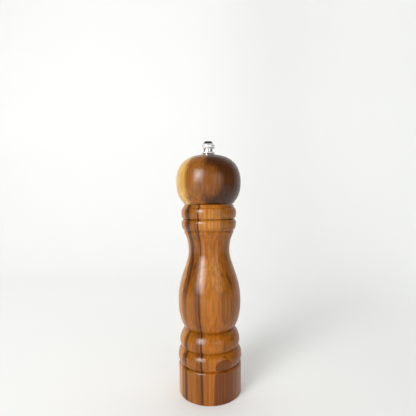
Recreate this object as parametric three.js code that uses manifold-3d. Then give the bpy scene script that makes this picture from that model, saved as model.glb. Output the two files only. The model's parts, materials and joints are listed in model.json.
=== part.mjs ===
// A turned wooden pepper mill with an adjustable grinder in its base.
// Millimetres, +Z up, origin at the centre of the base on the surface it stands on.
// The head turns a square shaft; the shaft turns the rotor inside the fixed stator.
// The knob on top pulls the shaft up against the spring, which sets how fine it grinds.

import * as THREE from 'three';
import { mergeVertices } from 'three/addons/utils/BufferGeometryUtils.js';
import Module from 'manifold-3d';

// ---- Driving dimensions -------------------------------------------------------------

const WOOD_SIDES = 32; // facets round a large turned piece
const SMALL_SIDES = 24; // facets round a small turned piece
const SCREW_SIDES = 12; // facets round a screw
const CURVE_STEPS = 5; // straight steps in each curved stretch of an outline

const GAP = 0.3; // play between neighbouring pieces

const BODY_TOP = 189.2;
const HEAD_BOTTOM = BODY_TOP + GAP;
const HEAD_TOP = 239.25;
const MILL_TOP = 252.8;

const PEPPER_BORE_R = 13.5;
const MECHANISM_BORE_R = 18;
const MECHANISM_BORE_TOP = 36.3;
const BASE_RECESS_R = 22;
const BASE_RECESS_TOP = 11.8;

const TENON_R = 12.9;
const TENON_BOTTOM = 177.1;
const HEAD_BORE_R = 4.4;
const DRIVE_PLATE_R = 11.8;
const BASE_PLATE_OPENING_R = 13.9;

const SHAFT_WIDTH = 5.5;
const THREAD_R = 2.5;
const SHAFT_BOTTOM = 6;
const SHAFT_SQUARE_BOTTOM = 12;
const SHAFT_SQUARE_TOP = 228;
const SHAFT_TOP = 247.5;
const SQUARE_HOLE = SHAFT_WIDTH + 2 * GAP;
const ROUND_HOLE_R = THREAD_R + GAP;

const PLATE_SCREW_CIRCLE_R = 19.3;
const PLATE_SCREW_COUNT = 3;
const PLATE_THICKNESS = 1.5;
const PLATE_BOTTOM = BASE_RECESS_TOP - GAP - PLATE_THICKNESS;

const DRIVE_PLATE_TOP = TENON_BOTTOM - GAP;
const DRIVE_SCREW_CIRCLE_R = 8;
const DRIVE_SCREW_COUNT = 2;

const SCREW_SHANK_R = 1.2;
const SCREW_HEAD_R = 2.6;
const SCREW_HEAD_HEIGHT = 1.4;
const SCREW_HOLE_R = SCREW_SHANK_R + GAP;

const HOUSING_R = MECHANISM_BORE_R - GAP;
const HOUSING_BOTTOM = BASE_RECESS_TOP;
const BRIDGE_THICKNESS = 2;
const BRIDGE_BOTTOM = MECHANISM_BORE_TOP - GAP - BRIDGE_THICKNESS;
const HOUSING_TOP = BRIDGE_BOTTOM - GAP;
const STATOR_R = 15;
const STATOR_HEIGHT = 14;
const FEED_R = 14;

const BUSH_R = 5.2;
const BUSH_FLANGE_R = 8;
const BUSH_FLANGE_THICKNESS = 1.5;
const BUSH_FLANGE_BOTTOM = BRIDGE_BOTTOM - GAP - BUSH_FLANGE_THICKNESS;

const ROTOR_BOTTOM = 12;
const ROTOR_HEIGHT = 9.5;
const SPRING_WASHER_BOTTOM = ROTOR_BOTTOM + ROTOR_HEIGHT + GAP;
const SPRING_WASHER_THICKNESS = 0.8;
const SPRING_WASHER_R = 7.4;
const SPRING_WASHER_BORE_R = 4.4;
const SPRING_BOTTOM = SPRING_WASHER_BOTTOM + SPRING_WASHER_THICKNESS + GAP;
const SPRING_TOP = BUSH_FLANGE_BOTTOM - GAP;
const SPRING_R = 6;
const SPRING_WIRE_R = 0.5;
const SPRING_TURNS = 4.5;

const ROTOR_WASHER_THICKNESS = 1;
const ROTOR_WASHER_R = 6;
const ROTOR_WASHER_BOTTOM = ROTOR_BOTTOM - GAP - ROTOR_WASHER_THICKNESS;
const NUT_THICKNESS = 3.8;
const NUT_BOTTOM = ROTOR_WASHER_BOTTOM - GAP - NUT_THICKNESS;

const FERRULE_FLANGE_BOTTOM = HEAD_TOP + GAP;
const FERRULE_FLANGE_THICKNESS = 0.5;
const FERRULE_FLANGE_R = 6.2;
const KNOB_BOTTOM = FERRULE_FLANGE_BOTTOM + FERRULE_FLANGE_THICKNESS + GAP;
const KNOB_HEIGHT = MILL_TOP - KNOB_BOTTOM;
const KNOB_BORE_DEPTH = 9.2;

// ---- Materials ----------------------------------------------------------------------

const finish = (color, roughness, metalness) => () =>
  new THREE.MeshStandardMaterial({ color, roughness, metalness });

const bodyWood = finish(0x8a4a1c, 0.35, 0);
const headWood = finish(0x7a4220, 0.35, 0);
const chrome = finish(0xdfe1e3, 0.08, 1);
const steel = finish(0xa9abad, 0.35, 1);
const springSteel = finish(0x8f9194, 0.3, 1);
const ceramic = finish(0xece8df, 0.45, 0);
const blackPlastic = finish(0x1d1d1e, 0.5, 0);

// ---- Shape tools --------------------------------------------------------------------

const wasm = await Module();
wasm.setup();

// The points of an outline: a step is [r, z] for a straight line, or
// [handle r, handle z, handle r, handle z, r, z] for a curve.
function outline(start, steps) {
  const path = new THREE.Path().moveTo(...start);
  for (const step of steps) {
    if (step.length === 2) {
      path.lineTo(...step);
    } else {
      path.bezierCurveTo(...step);
    }
  }
  return path.getPoints(CURVE_STEPS);
}

// A solid turned about Z. Its points start and end on the axis, or close on themselves.
function turned(points, sides) {
  return new THREE.LatheGeometry(points, sides).rotateX(Math.PI / 2);
}

// A round hole through a flat shape.
function roundHole(x, y, radius, sides) {
  const hole = new THREE.Path();
  for (let i = 0; i < sides; i += 1) {
    const angle = (2 * Math.PI * i) / sides;
    const point = [x + radius * Math.cos(angle), y + radius * Math.sin(angle)];
    if (i === 0) {
      hole.moveTo(...point);
    } else {
      hole.lineTo(...point);
    }
  }
  hole.closePath();
  return hole;
}

// A square hole on the axis of a flat shape.
function squareHole(width) {
  const half = width / 2;
  const hole = new THREE.Path().moveTo(-half, -half);
  hole.lineTo(half, -half).lineTo(half, half).lineTo(-half, half);
  hole.closePath();
  return hole;
}

// A flat piece with straight sides: an outline with holes, thick along Z.
function flat(points, holes, thickness) {
  const shape = new THREE.Shape(points);
  shape.holes.push(...holes);
  return new THREE.ExtrudeGeometry(shape, { depth: thickness, bevelEnabled: false });
}

// The corners of a regular polygon, or the facets of a circle.
function polygon(radius, sides) {
  const corner = (_, i) => {
    const angle = (2 * Math.PI * i) / sides;
    return new THREE.Vector2(radius * Math.cos(angle), radius * Math.sin(angle));
  };
  return Array.from({ length: sides }, corner);
}

// A straight round bar along Z, standing on z.
function bar(radius, z, height, sides) {
  const cylinder = new THREE.CylinderGeometry(radius, radius, height, sides);
  return cylinder.rotateX(Math.PI / 2).translate(0, 0, z + height / 2);
}

// A square bar along Z, standing on z.
function squareBar(width, z, height) {
  return new THREE.BoxGeometry(width, width, height).translate(0, 0, z + height / 2);
}

function toSolid(geometry) {
  const bare = geometry.clone();
  bare.deleteAttribute('normal');
  bare.deleteAttribute('uv');
  const merged = mergeVertices(bare, 1e-4);
  const triangles = [];
  for (let i = 0; i < merged.index.count; i += 3) {
    const [a, b, c] = [0, 1, 2].map((corner) => merged.index.getX(i + corner));
    if (a !== b && b !== c && c !== a) {
      triangles.push(a, b, c);
    }
  }
  const vertProperties = merged.attributes.position.array;
  const triVerts = Uint32Array.from(triangles);
  return new wasm.Manifold(new wasm.Mesh({ numProp: 3, vertProperties, triVerts }));
}

function toGeometry(solid) {
  const mesh = solid.getMesh();
  const geometry = new THREE.BufferGeometry();
  geometry.setAttribute('position', new THREE.BufferAttribute(mesh.vertProperties, 3));
  geometry.setIndex(new THREE.BufferAttribute(mesh.triVerts, 1));
  geometry.computeVertexNormals();
  return geometry;
}

function cut(geometry, tools) {
  let solid = toSolid(geometry);
  for (const tool of tools) {
    solid = solid.subtract(toSolid(tool));
  }
  return toGeometry(solid);
}

function join(geometries) {
  const [first, ...rest] = geometries.map(toSolid);
  let solid = first;
  for (const next of rest) {
    solid = solid.add(next);
  }
  return toGeometry(solid);
}

// Where the pieces of a screw circle stand: x, y for each, the first one at startAngle.
function circlePlaces(radius, count, startAngle) {
  const place = (_, i) => {
    const angle = startAngle + (2 * Math.PI * i) / count;
    return [radius * Math.cos(angle), radius * Math.sin(angle)];
  };
  return Array.from({ length: count }, place);
}

const plateScrewPlaces = circlePlaces(PLATE_SCREW_CIRCLE_R, PLATE_SCREW_COUNT, Math.PI / 2);
const driveScrewPlaces = circlePlaces(DRIVE_SCREW_CIRCLE_R, DRIVE_SCREW_COUNT, 0);

function named(name, geometry, material, x = 0, y = 0, z = 0) {
  const mesh = new THREE.Mesh(geometry, material());
  mesh.name = name;
  mesh.position.set(x, y, z);
  return mesh;
}

// ---- Wooden body --------------------------------------------------------------------

// Plinth, two rings, belly, waist and two beads outside; stepped bores inside.
function bodyShell() {
  const points = outline([BASE_RECESS_R + 0.5, 0], [
    [30.4, 0],
    [30.9, 0, 31.2, 0.3, 31.2, 0.8],
    [31.6, 27.8],
    [31.6, 29.8, 31, 31, 29.2, 31],
    [30.4, 31.3, 32, 33.7, 32, 38],
    [32, 44.3, 28, 46.8, 27.4, 47],
    [28.7, 47.3, 30.2, 49.7, 30.2, 52.5],
    [30.2, 60, 25.4, 64.9, 24.3, 65.2],
    [25.2, 65.4, 31.6, 73, 31.6, 92.3],
    [31.6, 116.5, 20.8, 129.5, 20.8, 142.5],
    [20.8, 149.5, 21.9, 154.3, 24.7, 160.5],
    [25, 160.9],
    [25, 162.6],
    [24.7, 163],
    [26.4, 164, 27.7, 166.6, 27.7, 170.5],
    [27.7, 172.8, 26.8, 174.3, 24.9, 174.5],
    [26.8, 174.8, 27.9, 177.2, 27.9, 180.8],
    [27.9, 183.1, 27.5, 184.9, 26.5, 185.6],
    [25.9, 185.7],
    [26.1, 186],
    [24.9, 188.9],
    [24.6, BODY_TOP],
    [PEPPER_BORE_R + 0.5, BODY_TOP],
    [PEPPER_BORE_R, BODY_TOP - 0.5],
    [PEPPER_BORE_R, MECHANISM_BORE_TOP],
    [MECHANISM_BORE_R, MECHANISM_BORE_TOP],
    [MECHANISM_BORE_R, BASE_RECESS_TOP],
    [BASE_RECESS_R, BASE_RECESS_TOP],
    [BASE_RECESS_R, 0.5],
    [BASE_RECESS_R + 0.5, 0],
  ]);
  const pilotDepth = 9;
  const pilots = plateScrewPlaces.map(([x, y]) =>
    bar(SCREW_HOLE_R, BASE_RECESS_TOP - 1, pilotDepth + 1, SCREW_SIDES).translate(x, y, 0));
  return cut(turned(points, WOOD_SIDES), pilots);
}

// ---- Wooden head --------------------------------------------------------------------

// A rounded head with a tenon below that fits the body's bore, and the shaft's hole through.
function head() {
  const points = outline([HEAD_BORE_R, TENON_BOTTOM], [
    [TENON_R - 0.5, TENON_BOTTOM],
    [TENON_R, TENON_BOTTOM + 0.5],
    [TENON_R, HEAD_BOTTOM],
    [24.6, HEAD_BOTTOM],
    [27.4, 193.6, 32.75, 197.7, 32.75, 211.7],
    [32.75, 223.7, 28.1, 237.9, 6.6, HEAD_TOP],
    [HEAD_BORE_R, HEAD_TOP],
    [HEAD_BORE_R, TENON_BOTTOM],
  ]);
  const pilotDepth = 8.5;
  const pilots = driveScrewPlaces.map(([x, y]) =>
    bar(SCREW_HOLE_R, TENON_BOTTOM - 1, pilotDepth + 1, SCREW_SIDES).translate(x, y, 0));
  return cut(turned(points, WOOD_SIDES), pilots);
}

// A flanged eyelet that lines the top of the head's hole, under the knob.
function headFerrule() {
  const sleeveLength = 4.5;
  const top = FERRULE_FLANGE_THICKNESS;
  const points = outline([ROUND_HOLE_R + 0.2, -sleeveLength], [
    [HEAD_BORE_R - GAP, -sleeveLength],
    [HEAD_BORE_R - GAP, 0],
    [FERRULE_FLANGE_R, 0],
    [FERRULE_FLANGE_R, top],
    [ROUND_HOLE_R + 0.2, top],
    [ROUND_HOLE_R + 0.2, -sleeveLength],
  ]);
  return turned(points, SMALL_SIDES);
}

// The plate under the tenon whose square hole drives the shaft.
function drivePlate() {
  const holes = driveScrewPlaces.map(([x, y]) => roundHole(x, y, SCREW_HOLE_R, SCREW_SIDES));
  return flat(polygon(DRIVE_PLATE_R, WOOD_SIDES), [squareHole(SQUARE_HOLE), ...holes], PLATE_THICKNESS);
}

// A pan-head wood screw standing head down, its head's seat at z = 0.
function woodScrew(shankLength) {
  const points = outline([0, -SCREW_HEAD_HEIGHT], [
    [1.4, -SCREW_HEAD_HEIGHT],
    [2.3, -SCREW_HEAD_HEIGHT + 0.2],
    [SCREW_HEAD_R, -SCREW_HEAD_HEIGHT + 0.7],
    [SCREW_HEAD_R, 0],
    [SCREW_SHANK_R, 0],
    [SCREW_SHANK_R, shankLength - 2],
    [0, shankLength],
  ]);
  return turned(points, SCREW_SIDES);
}

// ---- Knob ---------------------------------------------------------------------------

// A flange, a waist, a rounded grip and a tapered crown, with a blind bore for the thread.
function adjustingKnob() {
  const points = outline([0, KNOB_BORE_DEPTH], [
    [ROUND_HOLE_R, KNOB_BORE_DEPTH],
    [ROUND_HOLE_R, 0],
    [6.6, 0],
    [7, 0.4],
    [7, 1.3],
    [5, 1.9],
    [5, 5],
    [6.2, 5.2, 7.1, 6, 7.1, 7.2],
    [7.1, 8.8, 6.3, 9.6, 5, 10],
    [4.1, KNOB_HEIGHT],
    [0, KNOB_HEIGHT],
  ]);
  return turned(points, SMALL_SIDES);
}

// ---- Shaft, rotor and spring --------------------------------------------------------

// A square bar with a turned thread at each end.
function shaft() {
  const square = squareBar(SHAFT_WIDTH, SHAFT_SQUARE_BOTTOM, SHAFT_SQUARE_TOP - SHAFT_SQUARE_BOTTOM);
  const thread = bar(THREAD_R, SHAFT_BOTTOM, SHAFT_TOP - SHAFT_BOTTOM, SMALL_SIDES);
  return join([square, thread]);
}

// The turning burr: a cone, widest at its lower grinding band.
function rotor() {
  const points = outline([0, 0], [
    [12, 0],
    [12.4, 0.4],
    [12.4, 1.5],
    [7.5, ROTOR_HEIGHT],
    [0, ROTOR_HEIGHT],
  ]);
  return cut(turned(points, WOOD_SIDES), [squareBar(SQUARE_HOLE, -1, ROTOR_HEIGHT + 2)]);
}

// The fixed burr: a ring with a funnel above and a grinding cone below.
function stator() {
  const points = outline([13.3, 0], [
    [STATOR_R, 0],
    [STATOR_R, STATOR_HEIGHT],
    [13.6, STATOR_HEIGHT],
    [10.4, 10.2],
    [12.8, 3.4],
    [13.3, 0],
  ]);
  return turned(points, WOOD_SIDES);
}

// A flat ring washer.
function washer(outerR, innerR, thickness) {
  return flat(polygon(outerR, SMALL_SIDES), [roundHole(0, 0, innerR, SMALL_SIDES)], thickness);
}

function springWasher() {
  return washer(SPRING_WASHER_R, SPRING_WASHER_BORE_R, SPRING_WASHER_THICKNESS);
}

function rotorWasher() {
  return washer(ROTOR_WASHER_R, ROUND_HOLE_R, ROTOR_WASHER_THICKNESS);
}

// A hexagon nut, 8 across its flats.
function hexNut() {
  const cornerR = 8 / Math.sqrt(3);
  return flat(polygon(cornerR, 6), [roundHole(0, 0, ROUND_HOLE_R, SMALL_SIDES)], NUT_THICKNESS);
}

// The centre line of the spring's wire, rising about Z.
class Coil extends THREE.Curve {
  getPoint(t, target = new THREE.Vector3()) {
    const angle = 2 * Math.PI * SPRING_TURNS * t;
    const rise = SPRING_TOP - SPRING_BOTTOM - 2 * SPRING_WIRE_R - 0.1;
    const x = SPRING_R * Math.cos(angle);
    const y = SPRING_R * Math.sin(angle);
    return target.set(x, y, SPRING_WIRE_R + 0.05 + rise * t);
  }
}

function spring() {
  const wire = new THREE.Shape(polygon(SPRING_WIRE_R, 6));
  const stepsPerTurn = 16;
  const steps = SPRING_TURNS * stepsPerTurn;
  return new THREE.ExtrudeGeometry(wire, { steps, extrudePath: new Coil() });
}

// The bush that turns in the bridge: a barrel above, and the spring's upper seat below.
function shaftBush() {
  const top = BUSH_FLANGE_THICKNESS + 4;
  const points = outline([0, 0], [
    [BUSH_FLANGE_R, 0],
    [BUSH_FLANGE_R, BUSH_FLANGE_THICKNESS],
    [BUSH_R, BUSH_FLANGE_THICKNESS],
    [BUSH_R, top],
    [0, top],
  ]);
  return cut(turned(points, SMALL_SIDES), [squareBar(SQUARE_HOLE, -1, top + 2)]);
}

// ---- Fixed grinder parts ------------------------------------------------------------

// The plastic sleeve that holds the stator below its inner ledge.
function grinderHousing() {
  const height = HOUSING_TOP - HOUSING_BOTTOM;
  const ledge = STATOR_HEIGHT + GAP;
  const points = outline([STATOR_R + GAP, 0], [
    [HOUSING_R, 0],
    [HOUSING_R, height],
    [FEED_R, height],
    [FEED_R, ledge],
    [STATOR_R + GAP, ledge],
    [STATOR_R + GAP, 0],
  ]);
  return turned(points, WOOD_SIDES);
}

// One window of the bridge: a bent slot between two spokes.
function feedWindow(middleAngle) {
  const innerR = 7.6;
  const outerR = 13.3;
  const halfSpan = THREE.MathUtils.degToRad(32);
  const steps = 6;
  const arc = (radius, from, to) => Array.from({ length: steps + 1 }, (_, i) => {
    const angle = middleAngle + from + ((to - from) * i) / steps;
    return new THREE.Vector2(radius * Math.cos(angle), radius * Math.sin(angle));
  });
  const points = [...arc(outerR, -halfSpan, halfSpan), ...arc(innerR, halfSpan, -halfSpan)];
  return new THREE.Path(points);
}

// The four-spoked plate that carries the bush and lets the peppercorns fall past it.
function bridge() {
  const windows = [0, 1, 2, 3].map((quarter) => feedWindow((quarter * Math.PI) / 2));
  const hub = roundHole(0, 0, BUSH_R + GAP, SMALL_SIDES);
  return flat(polygon(HOUSING_R, WOOD_SIDES), [hub, ...windows], BRIDGE_THICKNESS);
}

// The ring screwed to the wood that holds the grinder in.
function basePlate() {
  const opening = roundHole(0, 0, BASE_PLATE_OPENING_R, WOOD_SIDES);
  const holes = plateScrewPlaces.map(([x, y]) => roundHole(x, y, SCREW_HOLE_R, SCREW_SIDES));
  return flat(polygon(BASE_RECESS_R - GAP, WOOD_SIDES), [opening, ...holes], PLATE_THICKNESS);
}

// ---- Assembly -----------------------------------------------------------------------

const bodyGroup = new THREE.Group();
bodyGroup.add(
  named('body_shell', bodyShell(), bodyWood),
  named('grinder_housing', grinderHousing(), blackPlastic, 0, 0, HOUSING_BOTTOM),
  named('bridge', bridge(), steel, 0, 0, BRIDGE_BOTTOM),
  named('stator', stator(), ceramic, 0, 0, HOUSING_BOTTOM),
  named('base_plate', basePlate(), steel, 0, 0, PLATE_BOTTOM),
);
plateScrewPlaces.forEach(([x, y], i) => {
  const screw = woodScrew(9.5);
  bodyGroup.add(named(`base_plate_screw_${i + 1}`, screw, steel, x, y, PLATE_BOTTOM - GAP));
});

const bushGroup = new THREE.Group();
bushGroup.add(
  named('shaft_bush', shaftBush(), blackPlastic, 0, 0, BUSH_FLANGE_BOTTOM),
  named('spring', spring(), springSteel, 0, 0, SPRING_BOTTOM),
);

const spindleGroup = new THREE.Group();
spindleGroup.add(
  named('shaft', shaft(), steel),
  named('spring_washer', springWasher(), steel, 0, 0, SPRING_WASHER_BOTTOM),
  named('rotor', rotor(), ceramic, 0, 0, ROTOR_BOTTOM),
  named('rotor_washer', rotorWasher(), steel, 0, 0, ROTOR_WASHER_BOTTOM),
  named('rotor_nut', hexNut(), steel, 0, 0, NUT_BOTTOM),
);

const headGroup = new THREE.Group();
headGroup.add(
  named('head', head(), headWood),
  named('head_ferrule', headFerrule(), chrome, 0, 0, FERRULE_FLANGE_BOTTOM),
  named('drive_plate', drivePlate(), steel, 0, 0, DRIVE_PLATE_TOP - PLATE_THICKNESS),
);
driveScrewPlaces.forEach(([x, y], i) => {
  const screw = woodScrew(9);
  const seat = DRIVE_PLATE_TOP - PLATE_THICKNESS - GAP;
  headGroup.add(named(`drive_plate_screw_${i + 1}`, screw, steel, x, y, seat));
});

const knobGroup = new THREE.Group();
knobGroup.add(named('adjusting_knob', adjustingKnob(), chrome, 0, 0, KNOB_BOTTOM));

const group = new THREE.Group();
group.add(bodyGroup, bushGroup, spindleGroup, headGroup, knobGroup);

export default group;
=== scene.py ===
"""A turned wooden pepper mill with an adjustable burr grinder in its base.

The dimensions below are in millimetres and the scene is in metres, +Z up along the turning axis,
with the base on z = 0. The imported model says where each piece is; this script gives it its looks.
"""

import json
import math

import bmesh
import bpy
from mathutils import Matrix, Vector


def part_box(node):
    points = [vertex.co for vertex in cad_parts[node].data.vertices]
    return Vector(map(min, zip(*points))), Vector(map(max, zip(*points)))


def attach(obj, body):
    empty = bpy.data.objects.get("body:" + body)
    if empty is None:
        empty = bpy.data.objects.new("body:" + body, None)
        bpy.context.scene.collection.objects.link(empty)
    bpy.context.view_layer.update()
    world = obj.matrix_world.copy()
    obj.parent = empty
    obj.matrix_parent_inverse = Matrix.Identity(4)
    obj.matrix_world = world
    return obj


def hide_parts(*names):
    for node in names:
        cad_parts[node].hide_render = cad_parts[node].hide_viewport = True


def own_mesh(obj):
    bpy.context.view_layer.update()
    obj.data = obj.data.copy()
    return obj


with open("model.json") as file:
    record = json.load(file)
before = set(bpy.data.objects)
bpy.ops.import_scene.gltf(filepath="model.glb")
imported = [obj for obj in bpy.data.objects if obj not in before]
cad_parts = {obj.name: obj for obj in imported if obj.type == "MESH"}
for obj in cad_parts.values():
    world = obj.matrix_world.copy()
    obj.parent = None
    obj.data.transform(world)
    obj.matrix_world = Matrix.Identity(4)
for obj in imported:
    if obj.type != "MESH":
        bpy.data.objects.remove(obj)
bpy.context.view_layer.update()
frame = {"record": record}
body_of_node = {
    node: body
    for body, nodes in frame["record"]["behaviour"]["bodies"].items()
    for node in nodes
}

# ---- Driving dimensions, in mm unless a comment says otherwise ------------------------------

MM = 0.001
TURN = 2 * math.pi

WOOD_SIDES = 192
METAL_SIDES = 96
SMALL_SIDES = 48
CURVE_STEPS = 14

BODY_TOP = 189.2
HEAD_BOTTOM = 189.5
HEAD_TOP = 239.25
PEPPER_BORE_R = 13.5
MECHANISM_BORE_R = 18
MECHANISM_BORE_TOP = 36.3
BASE_RECESS_R = 22
BASE_RECESS_TOP = 11.8
TENON_R = 12.9
TENON_BOTTOM = 177.1
HEAD_BORE_R = 4.4

SHAFT_WIDTH = 5.5
SHAFT_CORNER_R = 0.5
SQUARE_HOLE = 6.1
THREAD_R = 2.5
THREAD_PITCH = 0.8
THREAD_DEPTH = 0.42
SHAFT_SQUARE_BOTTOM = 12
SHAFT_SQUARE_TOP = 228
ROUND_HOLE_R = 2.8

KNOB_BORE_DEPTH = 9.2
BASE_PLATE_R = 21.7
BASE_PLATE_OPENING_R = 13.9
DRIVE_PLATE_R = 11.8
BRIDGE_R = 17.7
BRIDGE_HOLE_R = 5.5
SPRING_WASHER_R = 7.4
SPRING_WASHER_BORE_R = 4.4
ROTOR_WASHER_R = 6.0

SCREW_SHANK_R = 1.2
SCREW_HEAD_R = 2.6
SCREW_HEAD_HEIGHT = 1.4
SCREW_HOLE_R = 1.5
SCREW_HOLE_SIDES = 32

# The stage is in metres. The paper glows a little: near the mill, at the back and on the right.
STAGE_HALF_WIDTH = 2.4
STAGE_FRONT = -1.6
BEND_START = 0.45
BEND_R = 0.5
BEND_STEPS = 24
GLOW_NEAR = 0.05
GLOW_FAR = 0.13
GLOW_RIGHT = 0.14

# How bright the room is in reflections, and where the camera sees past the paper.
WORLD_FRONT = 0.1
WORLD_BACK = 0.6
WORLD_TOP = 0.2
WORLD_SEEN = 0.88

# A light: azimuth and elevation in degrees, distance, width and height in metres, and brightness.
KEY = (-36, 21, 1.8, 1.08, 1.15, 6.6)
KEY_CORE = (-37, 23, 1.78, 0.46, 0.62, 10)
RIGHT = (30, 14, 1.2, 0.85, 0.6, 1.5)
OVERHEAD = (150, 75, 1.6, 2.2, 2.2, 0.84)
LIGHT_TINT = (1.0, 0.997, 0.99)
# The paper's colour darkens from left to right: painted shade where the key light falls off and its
# shadow falls.
PAPER_LEFT = (0.822, 0.826, 0.812, 1.0)
PAPER_RIGHT_SHADED = (0.755, 0.765, 0.745, 1.0)

CAMERA_PLACE = (-0.7, -342.6, 191.5)
CAMERA_PITCH = 1.0  # degrees below the horizon
CAMERA_ROLL = 0.526  # degrees
CAMERA_LENS = 29.08
SENSOR_WIDTH = 36

# ---- Mesh tools -----------------------------------------------------------------------------


def outline(start, steps, curve_steps=CURVE_STEPS):
    """Points (r, z): a step is (r, z) for a line, or two handles and the end of a curve."""
    points = [start]
    for step in steps:
        if len(step) == 2:
            points.append(step)
            continue
        corners = [Vector(c) for c in (points[-1], step[0:2], step[2:4], step[4:6])]
        for i in range(1, curve_steps + 1):
            t = i / curve_steps
            weights = ((1 - t) ** 3, 3 * t * (1 - t) ** 2, 3 * t * t * (1 - t), t**3)
            spot = sum((w * c for w, c in zip(weights, corners)), Vector((0, 0)))
            points.append(tuple(spot))
    return points


def circle(radius, z, sides):
    return [
        (radius * math.cos(TURN * i / sides), radius * math.sin(TURN * i / sides), z)
        for i in range(sides)
    ]


def square_reach(angle, width, corner_r):
    """How far the side of a square with rounded corners is from the axis, in one direction."""
    folded = (angle + math.pi / 4) % (math.pi / 2) - math.pi / 4
    straight = width / 2 / math.cos(folded)
    centre = (width / 2 - corner_r) * math.sqrt(2)
    off = math.pi / 4 - abs(folded)
    inside = corner_r**2 - (centre * math.sin(off)) ** 2
    if inside <= 0:
        return straight
    return min(straight, centre * math.cos(off) + math.sqrt(inside))


def square(width, corner_r, z, sides):
    ring = []
    for i in range(sides):
        angle = TURN * i / sides
        reach = square_reach(angle, width, corner_r)
        ring.append((reach * math.cos(angle), reach * math.sin(angle), z))
    return ring


def loft(rings, closed):
    """A mesh through rings of equally many points; closed joins the last ring to the first."""
    mesh = bmesh.new()
    rows = [[mesh.verts.new(Vector(point) * MM) for point in ring] for ring in rings]
    pairs = list(zip(rows, rows[1:]))
    if closed:
        pairs.append((rows[-1], rows[0]))
    for lower, upper in pairs:
        for i, corner in enumerate(lower):
            j = (i + 1) % len(lower)
            mesh.faces.new((corner, lower[j], upper[j], upper[i]))
    bmesh.ops.remove_doubles(mesh, verts=mesh.verts, dist=1e-7)
    bmesh.ops.recalc_face_normals(mesh, faces=mesh.faces)
    return mesh


def turned(points, sides):
    """A mesh turned about Z. Its points end on the axis, or the last one joins the first."""
    on_axis = points[0][0] == 0 and points[-1][0] == 0
    return loft([circle(r, z, sides) for r, z in points], closed=not on_axis)


def add_piece(name, mesh, node, materials, sharp_degrees=32):
    """Turns a bmesh into a piece that stands for a CAD node and moves with the node's body."""
    data = bpy.data.meshes.new(name)
    mesh.to_mesh(data)
    mesh.free()
    data.shade_smooth()
    data.set_sharp_from_angle(angle=math.radians(sharp_degrees))
    for material in materials:
        data.materials.append(material)
    piece = bpy.data.objects.new(name, data)
    bpy.context.scene.collection.objects.link(piece)
    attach(piece, body_of_node[node])
    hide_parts(node)
    return piece


def plate_mesh(outer, holes, low, high, bevel):
    """A flat plate with holes and rounded edges, between the heights low and high."""
    curve = bpy.data.curves.new("plate", "CURVE")
    curve.dimensions = "2D"
    curve.fill_mode = "BOTH"
    curve.extrude = ((high - low) / 2 - bevel) * MM
    curve.bevel_depth = bevel * MM
    curve.bevel_resolution = 2
    curve.offset = -bevel * MM
    for points in [outer] + [hole[::-1] for hole in holes]:
        spline = curve.splines.new("POLY")
        spline.points.add(len(points) - 1)
        for spot, point in zip(spline.points, points):
            spot.co = (point[0] * MM, point[1] * MM, 0, 1)
        spline.use_cyclic_u = True
    holder = bpy.data.objects.new("plate", curve)
    bpy.context.scene.collection.objects.link(holder)
    ready = holder.evaluated_get(bpy.context.evaluated_depsgraph_get())
    mesh = bmesh.new()
    mesh.from_mesh(ready.to_mesh())
    bpy.data.objects.remove(holder)
    bmesh.ops.translate(mesh, verts=mesh.verts, vec=(0, 0, (low + high) / 2 * MM))
    bmesh.ops.remove_doubles(mesh, verts=mesh.verts, dist=1e-7)
    bmesh.ops.recalc_face_normals(mesh, faces=mesh.faces)
    return mesh


def heights(node):
    """A CAD node's lowest and highest z, in mm."""
    low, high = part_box(node)
    return low.z / MM, high.z / MM


def middle(node):
    """The place of a CAD node's middle across the axis, in mm."""
    low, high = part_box(node)
    return (low.x + high.x) / 2 / MM, (low.y + high.y) / 2 / MM


# ---- Material tools -------------------------------------------------------------------------


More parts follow.
